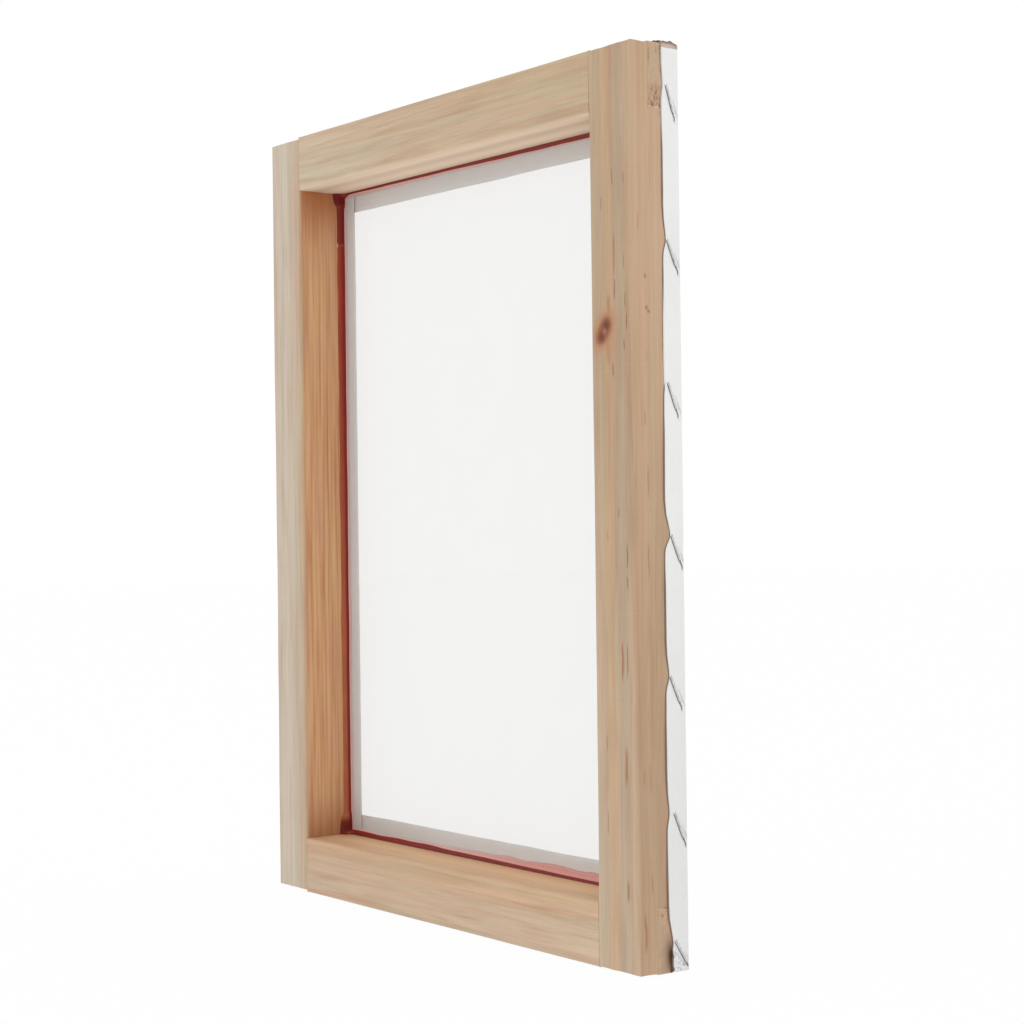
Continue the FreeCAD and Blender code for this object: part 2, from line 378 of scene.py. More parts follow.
def add_inner_bounce_shade(graph, colour, place):
    """Lays painted warm bounce light and shade on the left stile's inner face, streaked along the grain
    and darker at its ends, where the rails shade it.
    """
    across, through, along = place
    face = graph.falloff((across, -OPEN_X, 0.9))
    inside = through.between(0.7 - HALF_DEPTH, 2.2 - HALF_DEPTH)
    streaky = graph.noise((0, through, along), (1, 1.6, 70), 2, detail=4)
    shade = graph.ramp(streaky, [
        (0.3, tone(180, 124, 84)), (0.48, tone(200, 150, 108)), (0.7, tone(213, 170, 122))])
    patchy = graph.noise((0, through, along), (1, 9, 26), 6, detail=3)
    shade = shade.under(tone(198, 146, 122), patchy.between(0.4, 0.7, 0, 0.35))
    # Painted shade: darker towards each rail, in the corners of the opening.
    shade = shade.under(tone(168, 98, 56), along.between(OPEN_HIGH - 34, OPEN_HIGH + 2, 0, 0.75))
    shade = shade.under(tone(158, 98, 62), along.between(OPEN_LOW - 2, OPEN_LOW + 26, 0.6, 0))
    return colour.under(shade, face * inside)


def growth_rings(graph, place, wander, pith, ring, seed):
    """Latewood, 0 to 1, in rings round the pith."""
    across = place[0] + wander.scaled(9, -4.5)
    from_pith = graph.value("CombineXYZ", enumerate((across - pith[0], place[1] - pith[1], 0)))
    radius = graph.value("VectorMath", [(0, from_pith)], "Value", operation="LENGTH")
    uneven = graph.noise(place, (5, 5, 120), seed + 3, detail=1)
    part_of_ring = graph.math("FRACT", radius.scaled(1 / ring, uneven * 1.6))
    shades = ((0, 0.2), (0.1, 0), (0.5, 0.15), (0.84, 0.6), (0.94, 1), (1, 0.2))
    return graph.ramp(part_of_ring, [(at, (shade, shade, shade, 1)) for at, shade in shades])


def add_fibres(graph, colour, place, seed):
    """Breaks the wood's colour up along its fibres. Also gives the fibres and the dark threads."""
    cool = graph.noise(place, (3.4, 3.4, 130), seed + 21)
    colour = colour.tinted(tone(236, 238, 240), cool.between(0.4, 0.66, 0, 0.5))
    blotch = graph.noise(place, (7, 7, 60), seed + 11, detail=3)
    colour = colour.tinted(tone(206, 164, 132), blotch.between(0.45, 0.72, 0, 0.2))
    hue = graph.noise(place, (2.6, 2.6, 110), seed + 27)
    colour = colour.tinted(graph.ramp(hue, [(0.38, tone(255, 249, 248)), (0.62, tone(250, 255, 251))]))
    fibre = graph.noise(place, (0.5, 0.5, 24), seed + 5, detail=4, roughness=0.65)
    colour = colour.tinted(graph.grey(fibre.between(0.25, 0.75, 0.91, 1.07)))
    threads = graph.noise(place, (0.9, 0.9, 40), seed + 13).between(0.64, 0.74, 0, 0.3)
    colour = colour.under(tone(158, 116, 86), threads)
    saw_marks = graph.noise((0, 0, place[2]), (1, 1, 1.3), seed + 17, detail=1)
    return colour.tinted(graph.grey(saw_marks.between(0.3, 0.7, 0.985, 1.01))), fibre, threads


def add_end_grain(graph, colour, grain, point, torn):
    """Dulls the member's ends and tears a stretch of them. Also gives how rough the tear is."""
    z = point[2]
    end_grain = abs(graph.normal()["XYZ".index(grain)]).between(0.7, 0.9)
    pores = graph.noise(point, (0.8, 0.6, 1.7), detail=3, roughness=0.65)
    low, high = torn
    tear = z.between(low, low + 2) * z.between(high - 6, high, 1, 0.08) * end_grain
    dull = graph.mix(z.between(60, 350), tone(182, 150, 122), tone(206, 178, 150))
    colour = colour.under(dull, end_grain * 0.35)
    torn_colour = graph.mix(pores.between(0.42, 0.6), tone(196, 160, 132), tone(140, 98, 72))
    return colour.under(torn_colour, tear * 0.75), tear * pores


def pine(name, grain, early, late, bands, lengthwise, pith, ring, seed,
         resin=(), cracks=(), washes=(), knot=False, inner_bounce_shade=False, torn=(0, 0)):
    """Planed pine.

    grain is the axis the fibres follow, "X" or "Z". early and late are the colours of a growth
    ring, bands and lengthwise the tints across and along the member as (place, colour), pith the
    centre of the rings as (across, through) and ring their spacing. torn is the stretch of the
    end grain, low and high in Z, that tore when it was sawn.
    """
    graph = Graph(name)
    x, y, z = point = graph.place()
    across, through, along = straight = (x, y, z) if grain == "Z" else (z, y, x)
    place = straight
    if knot:
        reach, rise, push = KNOT_PUSH
        near = graph.falloff((across, KNOT_X, reach), (along, KNOT_Z, rise))
        place = (across + near * (across - KNOT_X) * -push, through, along)
    wander = graph.noise(place, (26, 26, 170), seed)
    latewood = growth_rings(graph, place, wander, pith, ring, seed)
    strength = graph.noise(place, (9, 9, 60), seed + 7, detail=1)
    colour = graph.mix(latewood * strength.between(0.3, 0.7, 0.12, 0.75), early, late)
    for value, stops in ((wander.scaled(3, place[0] - 1.5), bands), (along, lengthwise)):
        low, high = stops[0][0], stops[-1][0]
        share = value.scaled(1 / (high - low), -low / (high - low))
        colour = colour.tinted(graph.ramp(
            share, [((at - low) / (high - low), shade) for at, shade in stops]))
    colour, fibre, threads = add_fibres(graph, colour, place, seed)
    # Painted warm bounce light and shade on the left stile's inner face.
    if inner_bounce_shade:
        colour = add_inner_bounce_shade(graph, colour, straight)
    colour = add_streaks(graph, colour, straight, resin, tone(156, 100, 66))
    colour = add_streaks(graph, colour, straight, cracks, tone(116, 84, 60))
    if knot:
        colour = add_knot(graph, colour, across, along, point)
    colour, tear = add_end_grain(graph, colour, grain, point, torn)
    colour = add_washes(graph, colour, point, washes)
    height = tear.scaled(2.5, latewood.scaled(0.25, fibre * 0.7) - threads * 0.5)
    return graph.finish(Base_Color=colour, Roughness=fibre.scaled(0.25, 0.5),
                        Specular_IOR_Level=0.25, Normal=graph.bump(height, 0.07))


# ---- the timber


def blocky(name, lines, is_solid, relief, ease, material):
    """A solid made of the grid's cells that are solid, its edges eased by ease(middle, along)."""
    xs, ys, zs = lines
    shape = (len(xs) - 1, len(ys) - 1, len(zs) - 1)

    def middle(cell):
        return [(line[i] + line[i + 1]) / 2 for line, i in zip(lines, cell)]

    solid = {
        (i, j, k)
        for i in range(shape[0]) for j in range(shape[1]) for k in range(shape[2])
        if is_solid(*middle((i, j, k)))
    }
    numbers, points, faces = {}, [], []

    def number(corner):
        if corner not in numbers:
            numbers[corner] = len(points)
            points.append(Vector([line[i] for line, i in zip(lines, corner)]))
        return numbers[corner]

    for cell in sorted(solid):
        for axis in range(3):
            for step in (0, 1):
                beside = list(cell)
                beside[axis] += 2 * step - 1
                if tuple(beside) in solid:
                    continue
                first, second = [(axis + 1) % 3, (axis + 2) % 3]
                corners = []
                for a, b in ((0, 0), (1, 0), (1, 1), (0, 1)):
                    corner = list(cell)
                    corner[axis] += step
                    corner[first] += a
                    corner[second] += b
                    corners.append(number(tuple(corner)))
                faces.append(corners if step else corners[::-1])
    item = new_piece(name, [relief(point) for point in points], faces, material)

    mesh = bmesh.new()
    mesh.from_mesh(item.data)
    weights = mesh.edges.layers.float.new("bevel_weight_edge")
    for edge in mesh.edges:
        if len(edge.link_faces) == 2 and edge.calc_face_angle_signed() > math.radians(40):
            start, end = (points[vertex.index] for vertex in edge.verts)
            edge[weights] = ease((start + end) / 2, (end - start).normalized())
    mesh.to_mesh(item.data)
    mesh.free()
    bevel = item.modifiers.new("eased_edges", "BEVEL")
    bevel.limit_method = "WEIGHT"
    bevel.width = EDGE_ROUND * MM
    bevel.segments = 3
    bevel.use_clamp_overlap = False
    item.modifiers.new("even_shading", "WEIGHTED_NORMAL").keep_sharp = True
    return item


ARRIS = 0.12       # how much a sawn edge is eased, as a share of a planed one
BESIDE_RAIL = 0.2  # the same for a stile's inner edge where a rail butts against it
UNDER_MESH = 1.06  # the same for every planed edge that the mesh turns over
JOINT_GAP = 0.02   # open glue line round a tenon


def long_edge_ease(seed, place, run, through):
    """How much a planed long edge is eased: uneven by hand sanding, but even under the mesh."""
    if through > 0:
        return UNDER_MESH
    return 0.92 + 0.22 * drift(seed, place / 45, run)


def stile(name, side, low, high, seed, material, dent):
    """A full-height member with an open mortise in each end. side is -1 left and +1 right."""
    inner, outer = side * OPEN_X, side * HALF_WIDTH
    slot = HALF_TENON + JOINT_GAP
    fine_z = [(KNOT_Z - 9, KNOT_Z + 9)] if side > 0 else []
    fine_x = [(KNOT_X - 7, KNOT_X + 7), (POCKET_X - 2, POCKET_X + 1)] if side > 0 else []
    lines = (
        grid_lines(sorted((inner, outer)), 3.3, fine_x),
        grid_lines((-HALF_DEPTH, -slot, slot, HALF_DEPTH), 3.4),
        grid_lines((low.z, OPEN_LOW, OPEN_HIGH, high.z), 4, fine_z),
    )

    def is_solid(x, y, z):
        return OPEN_LOW < z < OPEN_HIGH or abs(y) > slot

    def relief(point):
        x, y, z = point
        planed = 0.10 * drift(seed, z / 70, x / 30, y / 30)
        moved = Vector(point)
        if abs(abs(x) - HALF_WIDTH) < MM:
            moved.x -= side * abs(planed)
        if abs(y + HALF_DEPTH) < MM:
            moved.y += abs(planed) + dent(x, z)
        if abs(z - low.z) < MM or abs(z - high.z) < MM:
            moved.z += 0.12 * drift(seed + 2, x / 6, y / 6)
        return moved

    def ease(middle, along):
        if abs(along.z) > 0.9 and abs(abs(middle.y) - HALF_DEPTH) < MM:
            butted = abs(middle.x) < HALF_WIDTH - 1 and not OPEN_LOW < middle.z < OPEN_HIGH
            share = BESIDE_RAIL if butted else 1
            return share * long_edge_ease(seed, middle.z, middle.x / 9, middle.y)
        return ARRIS

    item = blocky(name, lines, is_solid, relief, ease, material)
    return place_piece(item, "pine_stile", name)


def rail(name, low, high, seed, material):
    """A cross member with a tenon through each stile."""
    lines = (
        grid_lines((-HALF_WIDTH, -OPEN_X, OPEN_X, HALF_WIDTH), 4),
        grid_lines((-HALF_DEPTH, -HALF_TENON, HALF_TENON, HALF_DEPTH), 3.4),
        grid_lines((low.z, high.z), 3.3),
    )

    def is_solid(x, y, z):
        return abs(x) < OPEN_X or abs(y) < HALF_TENON

    def relief(point):
        x, y, z = point
        planed = abs(0.10 * drift(seed, x / 70, y / 30, z / 30))
        moved = Vector(point)
        if abs(y + HALF_DEPTH) < MM:
            moved.y += planed
        if abs(abs(x) - HALF_WIDTH) < MM:
            moved.x -= math.copysign(0.08 + 0.12 * abs(drift(seed + 4, y / 1.7, z / 1.7)), x)
        return moved

    def ease(middle, along):
        if abs(along.x) > 0.9 and abs(abs(middle.y) - HALF_DEPTH) < MM:
            return long_edge_ease(seed, middle.x, middle.z / 9, middle.y)
        return ARRIS

    item = blocky(name, lines, is_solid, relief, ease, material)
    return place_piece(item, "pine_rail", name)


POCKET_X = 148.2                             # where the right stile's resin pockets lie
POCKETS = ((129, 149), (82, 102), (32, 42))  # and from where to where they run

# Dark lines in the right stile, in front as (across, from, to, reach, strength) and at the side
# as (through, from, to, reach, strength).
FRONT_RESIN = (
    (143.5, 310, 331, 0.55, 0.8), (139.6, 293, 303, 0.9, 0.6), (139, 270, 287, 1.5, 0.4),
    (137, 192, 197, 0.35, 0.6), (146.1, 129, 149, 0.6, 0.95), (149.5, 131, 148, 0.5, 0.8),
    (148, 82, 102, 0.8, 0.8), (148.3, 32, 42, 0.65, 0.9),
)
SIDE_RESIN = (
    (-11, 330, 338, 0.45, 0.8), (-8, 243, 250, 0.45, 0.6), (-6.5, 211, 227, 0.45, 0.7),
    (-11.1, 9, 29, 0.65, 0.85), (-10.8, 84, 92, 0.5, 0.45), (-7.4, 80, 94, 0.5, 0.45),
)
FRONT_CRACKS = (
    (142.7, 351, 359, 0.3, 0.75), (150.8, 351, 356, 0.3, 0.6), (134.9, 341, 347, 0.3, 0.6),
    (143.7, 300, 310, 0.35, 0.85), (150.4, 313, 320, 0.3, 0.6), (151, 296, 303, 0.3, 0.7),
    (152, 286, 293.5, 0.35, 0.85), (149.8, 277, 282, 0.3, 0.75), (141.9, 266, 272, 0.35, 0.8),
    (144.8, 203, 207, 0.3, 0.7), (150.5, 180, 191, 0.35, 0.85), (150.5, 171, 177, 0.35, 0.75),
    (134.8, 98, 106, 0.3, 0.5), (134.8, 60, 72, 0.3, 0.5),
)
SIDE_CRACKS = (
    (-4, 343, 368, 0.25, 0.45), (-6.8, 272, 277, 0.25, 0.6), (-6.9, 175, 192, 0.3, 0.6),
    (-7.2, 36, 45, 0.3, 0.6),
)


def knot_and_pockets(x, z):
    """How far the right stile's front is sunk at a place: round its knot and in resin pockets."""
    out = math.hypot(x - KNOT_X, z - KNOT_Z) / KNOT_REACH
    ring = 0.22 * bell(out - 1, 0.22)
    heart = 0.3 * bell(x - KNOT_X + 0.4, 0.9) * bell(z - KNOT_Z, 1.6)
    pocket = 0
    for start, end in POCKETS:
        window = smooth(start - 2, start + 3, z) * (1 - smooth(end - 3, end + 2, z))
        pocket = max(pocket, 0.35 * bell(x - POCKET_X, 0.7) * window)
    return ring + heart + pocket


def plain(x, z):
    """No knots or pockets."""
    return 0


def on_faces(in_front, at_side):
    """The right stile's dark lines on both of its faces, as add_streaks takes them."""
    lines = [(across, -HALF_DEPTH, *rest) for across, *rest in in_front]
    return lines + [(HALF_WIDTH, through, *rest) for through, *rest in at_side]


def wash(centre, reaches, strength, *shade):
    """A soft patch of colour, as add_washes takes it."""
    return centre, reaches, strength, tone(*shade)


def dot(through, along, wide, tall, strength):
    """A small dark spot on the frame's right side."""
    return wash((HALF_WIDTH, through, along), (LINE_DEPTH, wide, tall), strength, 84, 50, 34)


def tints(*stops):
    """Tints as (place, colour) from (place, red, green, blue)."""
    return [(place, tone(*shade)) for place, *shade in stops]


def make_timber():
    side, far = HALF_WIDTH, 900   # far reaches all along a rail
    # The left stile's inner face gets painted warm bounce light and shade.
    left = pine(
        "pine_left_stile", "Z", tone(207, 194, 180), tone(193, 176, 158),
        tints((-side, 250, 248, 246), (-142, 253, 252, 251), (-131, 243, 235, 225),
              (-OPEN_X, 244, 227, 203)),
        tints((0, 250, 248, 244), (HEIGHT, 252, 250, 248)),
        pith=(-190, -150), ring=2.6, seed=1, inner_bounce_shade=True)
    right = pine(
        "pine_right_stile", "Z", tone(202, 182, 158), tone(186, 158, 130),
        tints((OPEN_X, 250, 250, 248), (133, 246, 244, 242), (139, 250, 238, 224),
              (143.5, 240, 236, 234), (149, 240, 238, 240), (side, 252, 242, 234)),
        tints((0, 255, 254, 252), (110, 252, 250, 247), (240, 243, 238, 231),
              (HEIGHT, 246, 240, 233)),
        pith=(128, 120), ring=3.4, seed=4, knot=True,
        resin=on_faces(FRONT_RESIN, SIDE_RESIN), cracks=on_faces(FRONT_CRACKS, SIDE_CRACKS),
        washes=[wash((side, 0, 330), (1.2, 40, 130), 0.4, 218, 184, 155),
                wash((side, 0, 70), (1.2, 40, 110), 0.42, 166, 132, 104),
                dot(-7.1, 309.8, 0.6, 0.8, 0.6), dot(-6.4, 295.8, 0.7, 0.9, 0.6),
                dot(-5.3, 294.2, 0.7, 0.7, 0.6), dot(3.6, 383, 1.3, 1.2, 0.5)])
    top = pine(
        "pine_top_rail", "X", tone(206, 191, 173), tone(195, 170, 141),
        tints((OPEN_HIGH, 255, 246, 236), (391, 247, 245, 238), (402, 247, 243, 234),
              (HEIGHT, 250, 241, 230)),
        tints((-OPEN_X, 252, 254, 254), (0, 249, 244, 238), (OPEN_X, 245, 236, 226)),
        pith=(340, 40), ring=3.1, seed=7, torn=(384, 398),
        # Painted light: these two washes lighten the rail's underside over the opening.
        washes=[wash((0, -11, OPEN_HIGH), (far, 4.5, 1.2), 0.75, 240, 216, 192),
                wash((0, 5, OPEN_HIGH), (far, 9, 0.8), 0.8, 238, 214, 190),
                dot(3.4, 386, 1.1, 1, 0.95), dot(-1.6, 386.5, 0.8, 0.8, 0.7),
                dot(-3.5, 408, 0.4, 4, 0.5), dot(1, 411, 0.4, 1.6, 0.45)])
    bottom = pine(
        "pine_bottom_rail", "X", tone(209, 190, 170), tone(197, 170, 144),
        tints((0, 250, 244, 238), (14, 248, 242, 234), (OPEN_LOW, 250, 232, 212)),
        tints((-OPEN_X, 247, 243, 242), (0, 248, 244, 240), (OPEN_X, 255, 255, 254)),
        pith=(-30, 70), ring=3.6, seed=10,
        washes=[wash((0, 3, OPEN_LOW), (far, 10, 0.9), 0.6, 226, 184, 140),
                wash((side, 1.2, 9), (1.5, 4.6, 9), 0.5, 146, 108, 80),
                dot(3.4, 8, 2.4, 6.5, 0.95),
                dot(-1.5, 26, 0.6, 0.7, 0.6), dot(0.5, 29.2, 1.8, 0.35, 0.6)])
    stile("left_stile", -1, LEFT_LOW, LEFT_HIGH, 1, left, plain).name = "stile_left_pine"
    stile("right_stile", 1, RIGHT_LOW, RIGHT_HIGH, 4, right, knot_and_pockets).name = "stile_right_pine"
    rail("top_rail", TOP_LOW, TOP_HIGH, 7, top).name = "rail_top_pine"
    rail("bottom_rail", BOTTOM_LOW, BOTTOM_HIGH, 10, bottom).name = "rail_bottom_pine"


# ---- staples

SIDES = {
    "right": (Vector((1, 0, 0)), 2),    # outward direction, and the axis that the side runs along
    "left": (Vector((-1, 0, 0)), 2),
    "top": (Vector((0, 0, 1)), 0),
    "bottom": (Vector((0, 0, -1)), 0),
}
WIRE_WIDTH, WIRE_THICKNESS = 0.95, 0.5
WIRE_BEND = 0.9
WIRE_SIDES = 16    # points round a wire
WIRE_TIP = 0.45    # how far a leg's end narrows
LEG_IN = 7.4       # how deep a leg goes
CROWN_LIFT = 0.22  # how far a crown stands out past its solid, where the mesh puffs up


def islands(node):
    """The separate solids of a node, each as its points in millimetres."""
    mesh = bmesh.new()
    mesh.from_mesh(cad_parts[node].data)
    bmesh.ops.remove_doubles(mesh, verts=mesh.verts, dist=0.001 * MM)
    waiting, found = set(mesh.verts), []
    for start in list(mesh.verts):
        if start not in waiting:
            continue
        waiting.discard(start)
        group, front = [], [start]
        while front:
            vertex = front.pop()
            group.append(vertex.co / MM)
            for edge in vertex.link_edges:
                other = edge.other_vert(vertex)
                if other in waiting:
                    waiting.discard(other)
                    front.append(other)
        found.append(group)
    mesh.free()
    return found


def find_staples(side):
    """(middle of the crown's outer face, direction along it towards the back, length) of each."""
    out, run = SIDES[side]
    found = []
    for points in islands(f"staples_{side}"):
        level = max(point.dot(out) for point in points)
        crown = [point for point in points if point.dot(out) > level - 0.02]
        middle = sum(crown, Vector()) / len(crown)
        spread = [(point[run] - middle[run], point.y - middle.y) for point in crown]
        both = sum(along * depth for along, depth in spread)
        difference = sum(along**2 - depth**2 for along, depth in spread)
        angle = math.atan2(2 * both, difference) / 2
        direction = Vector((0, math.sin(angle), 0))
        direction[run] = math.cos(angle)
        if direction.y < 0:
            direction.negate()
        reach = [point.dot(direction) for point in points]
        found.append((middle, direction, max(reach) - min(reach)))
    return sorted(found, key=lambda staple: staple[0][run])


STAPLES = {side: find_staples(side) for side in SIDES}


def wire_path(length, leg, seed):
    """One staple's centre line as (along, out) points: up a leg, over the bowed crown and down."""
    half = length / 2 - WIRE_THICKNESS / 2
    bend = WIRE_BEND - WIRE_THICKNESS / 2
    path = [(-half, -leg), (-half, -leg / 2)]
    for step in range(5):
        angle = math.pi / 2 * step / 4
        path.append((-half + bend * (1 - math.cos(angle)), -bend * (1 - math.sin(angle))))
    for step in range(1, 8):
        share = step / 8
        bow = 0.07 * math.sin(math.pi * share) + 0.03 * drift(seed, share * 3)
        path.append(((2 * share - 1) * (half - bend), bow))
    return path + [(-along, out) for along, out in path[6::-1]]


def staple_wires(side, lift):
    """All of one side's staples as rounded bent wire."""
    out, run = SIDES[side]
    points, faces, painted_side_shadow = [], [], []
    for index, (middle, direction, length) in enumerate(STAPLES[side]):
        across = direction.cross(out)
        centre = middle + out * (lift - WIRE_THICKNESS / 2)
        path = wire_path(length, LEG_IN, index + 20 * run)
        first = len(points)
        for step, (along, height) in enumerate(path):
            before = path[max(0, step - 1)]
            after = path[min(len(path) - 1, step + 1)]
            tangent = Vector((after[0] - before[0], after[1] - before[1])).normalized()
            tip = WIRE_TIP if step in (0, len(path) - 1) else 1
            for turn in range(WIRE_SIDES):
                angle = 2 * math.pi * turn / WIRE_SIDES
                flat = squared(math.cos(angle)) * WIRE_WIDTH / 2 * tip
                deep = squared(math.sin(angle)) * WIRE_THICKNESS / 2
                points.append(
                    centre + across * flat
                    + direction * (along - tangent.y * deep) + out * (height + tangent.x * deep))
                # Painted shadow down the wire's sides.
                painted_side_shadow.append(smooth(0.55, 0.95, abs(math.cos(angle))))
        faces += grid_faces(len(path), WIRE_SIDES, first, tube=True)
        last = first + (len(path) - 1) * WIRE_SIDES
        faces.append(tuple(first + turn for turn in reversed(range(WIRE_SIDES))))
        faces.append(tuple(last + turn for turn in range(WIRE_SIDES)))
    return points, faces, painted_side_shadow


def squared(value):
    """A sine or cosine drawn out so that a wire's section is nearly square."""
    return math.copysign(abs(value) ** 0.6, value)


def steel():
    """Dull galvanised wire, scuffed on its crown, with painted shadow down its sides where it sits in
    the mesh.
    """
    graph = Graph("staple_steel")
    scuffs = graph.noise(graph.place(), (0.5, 0.5, 2.2), detail=4, roughness=0.7)
    colour = graph.ramp(scuffs, [
        (0.3, tone(150, 149, 147)), (0.5, tone(205, 205, 203)), (0.7, tone(232, 232, 230))])
    # Painted shadow down the wire's sides, where it sits in the mesh.
    colour = colour.under(tone(70, 69, 67), graph.attribute("painted_side_shadow") * 0.8)
    return graph.finish(
        Base_Color=colour, Metallic=0.6, Roughness=scuffs.between(0.3, 0.7, 0.55, 0.35),
        Normal=graph.bump(scuffs, 0.02))


def make_staples():
    material = steel()
    for side in SIDES:
        lift = 0 if side == "bottom" else CROWN_LIFT
        points, faces, painted_side_shadow = staple_wires(side, lift)
        item = new_piece(f"staple_wires_{side}", points, faces, material)
        paint_points(item, "painted_side_shadow", painted_side_shadow)
        place_piece(item, "staple_wire", f"staples_{side}")


# ---- the mesh

ARC_RADIUS = EDGE_ROUND + SKIN / 2
ARC_LENGTH = ARC_RADIUS * math.pi / 2
LEG = HALF_DEPTH - EDGE_ROUND - FLAP_FRONT       # how far the mesh lies on an outer face
OVERHANG = ARC_LENGTH + LEG
PANEL_X = PANEL_HIGH.x
PANEL_Z = (PANEL_HIGH.z - PANEL_LOW.z) / 2
MIDDLE_Z = (PANEL_HIGH.z + PANEL_LOW.z) / 2
FOLD_AT = 1.4        # past the panel's edge, where a corner ear turns back on itself
EAR_LAYERS = (0.6, 1.5)   # how far an ear's two layers stand off what is below
EAR_HEAD = 1       # how far an ear's folded head comes down the stile's outer face
TAIL = 6           # how far a fold runs on from a staple's back end
PINCH = 6          # how far the mesh is pinched ahead of its front end
FAR = 50           # stands for no staple near
PALE_HEM_STRETCH = (262, 300)   # a stretch of the stiles' hems left without the dark edge
CROWN_START = -13    # a crown's front end, past its back end
WEAVE_PITCH = 0.32   # from one thread to the next
NOTCH_AHEAD, NOTCH_BEHIND = 8, 4.5   # how far a staple's notch in a hem reaches
NOTCHES = (0.24, 0.14, 0.2, 0.34, 0.05, 0.18, 0.1)   # how far each staple draws a hem back
PUFF = {"right": 1, "left": 1, "top": 1, "bottom": 0}   # pressed flat where it stands


def wrap(past):
    """(outward, depth place) of mesh that is past the panel's edge by that length."""
    back = HALF_DEPTH + SKIN / 2
    if past <= 0:
        return 0, back
    if past < ARC_LENGTH:
        angle = past / ARC_RADIUS
        return ARC_RADIUS * math.sin(angle), back - ARC_RADIUS * (1 - math.cos(angle))
    return ARC_RADIUS, back - ARC_RADIUS - (past - ARC_LENGTH)


def along_side(side, place):
    """A flap's length against the nominal one: drawn back towards the front end of each staple.

    A stile's flap narrows towards its head, and is cut short where it meets the foot.
    """
    run = SIDES[side][1]
    notch = 0
    for index, (middle, direction, length) in enumerate(STAPLES[side]):
        ahead = place - (middle[run] - direction[run] * length / 2)
        ahead *= -math.copysign(1, direction[run])
        notch += NOTCHES[index] * bell(ahead, NOTCH_AHEAD if ahead > 0 else NOTCH_BEHIND)
    if side in ("top", "bottom"):
        return 1.04 + 0.05 * drift(8, place / 60) - notch
    foot = 0.22 * bell(place - 5, 7)
    return 1.21 - 0.19 * smooth(60, 380, place) + 0.02 * drift(3, place / 40) - notch - foot


def trimmed(past, share):
    """Length past the edge once the leg on the outer face is cut to a share of itself."""
    return past if past < ARC_LENGTH else ARC_LENGTH + (past - ARC_LENGTH) * share


def beside_staple(side, place, depth):
    """Where a point of a flap is from its nearest staple: (aside of it, past its back end).

    Away from every staple the first is FAR, and the second stays clear of the staple's length, so
    that values blended between two points never fall on a staple that isn't there.
    """
    run = SIDES[side][1]
    middle, direction, length = min(STAPLES[side], key=lambda staple: abs(place - staple[0][run]))
    along_run, along_depth = place - middle[run], depth - middle.y
    along = along_run * direction[run] + along_depth * direction.y
    aside = along_run * direction.y - along_depth * direction[run]
    past_end = along - length / 2
    if past_end > 2 * TAIL:
        return FAR, 2 * TAIL
    if past_end < -length - PINCH:
        return FAR, -length - PINCH
    return aside, past_end


def flap_relief(side, place, past, depth):
    """How far a flap stands out: lifted between the staples and ridged along their folds."""
    run = SIDES[side][1]
    settled = smooth(0, ARC_LENGTH + 1, past)
    nearest = min(abs(place - staple[0][run]) for staple in STAPLES[side])
    lift = 0.3 * smooth(6, 26, nearest) * smooth(ARC_LENGTH, OVERHANG, past) ** 2
    waves = 0.08 * max(0, drift(6, place / 9, depth / 16))
    aside, past_end = beside_staple(side, place, depth)
    fold = bell(aside, 0.6) * smooth(-1, 0.6, past_end) * (1 - smooth(0.4 * TAIL, TAIL, past_end))
    wrinkle = bell(aside - 2.2, 0.7) * smooth(-9, -2, past_end) * (1 - smooth(2, TAIL, past_end))
    return PUFF[side] * settled * (lift + waves + max(0.4 * fold, 0.15 * wrinkle))


def hem_darkness(side, place):
    """How much the cut edge of a flap is darkened at a place, 0 to 1."""
    if side in ("top", "bottom"):
        return 0.6
    low, high = PALE_HEM_STRETCH
    pale_stretch = smooth(low - 2, low + 2, place) * (1 - smooth(high - 10, high + 10, place))
    near_top = smooth(365, 385, place)
    return 0.9 - 0.75 * pale_stretch - 0.35 * near_top


def ear_half(first, second, own, folded):
    """(carrier outward, other outward) in a corner ear, on the half that starts from the carrier
    flap or, if folded, from the other one."""
    out = wrap(trimmed(first, own))[0]
    if folded:
        turned = max(0, second - FOLD_AT)
        return min(second, FOLD_AT) + EAR_LAYERS[1] * smooth(0, 1.2, turned), out - turned
    layer = EAR_LAYERS[0] * smooth(FOLD_AT - 0.3, FOLD_AT + 0.7, second)
    return out + layer, second if second < FOLD_AT else 2 * FOLD_AT - second


def corner_point(past_x, past_z, right, top):
    """A point of a corner ear: (outward in X, outward in Z, depth place).

    The square of mesh past both edges folds along its diagonal into a double ear, which lies on
    the outer face of the stile at the foot and on top of the rail at the head.
    """
    side, end = ("right" if right > 0 else "left"), ("top" if top > 0 else "bottom")
    side_share = along_side(side, MIDDLE_Z + top * PANEL_Z)
    end_share = along_side(end, right * PANEL_X)
    carrier, other = (past_z, past_x) if top > 0 else (past_x, past_z)
    carrier_share, other_share = (end_share, side_share) if top > 0 else (side_share, end_share)
    first, second = max(carrier, other), min(carrier, other)
    towards = second / first if first else 1
    mean = (carrier_share + other_share) / 2
    own = (carrier_share if carrier >= other else other_share) * (1 - towards) + mean * towards
    straight = ear_half(first, second, own, False)
    folded = ear_half(first, second, own, True)
    half = straight if carrier >= other else folded
    joined = smooth(0.5, 1, towards)
    outward, sideways = (
        a * (1 - joined) + (b + c) / 2 * joined for a, b, c in zip(half, straight, folded))
    depth = wrap(trimmed(first, own))[1]
    if end == "top" or second > FOLD_AT:
        crumple = 0.6 * max(-0.3, drift(12, first / 2.4, second / 2.4, right + 2 * top))
        outward += crumple * smooth(FOLD_AT, FOLD_AT + 2, second)
    return (sideways, outward, depth) if top > 0 else (outward, sideways, depth)


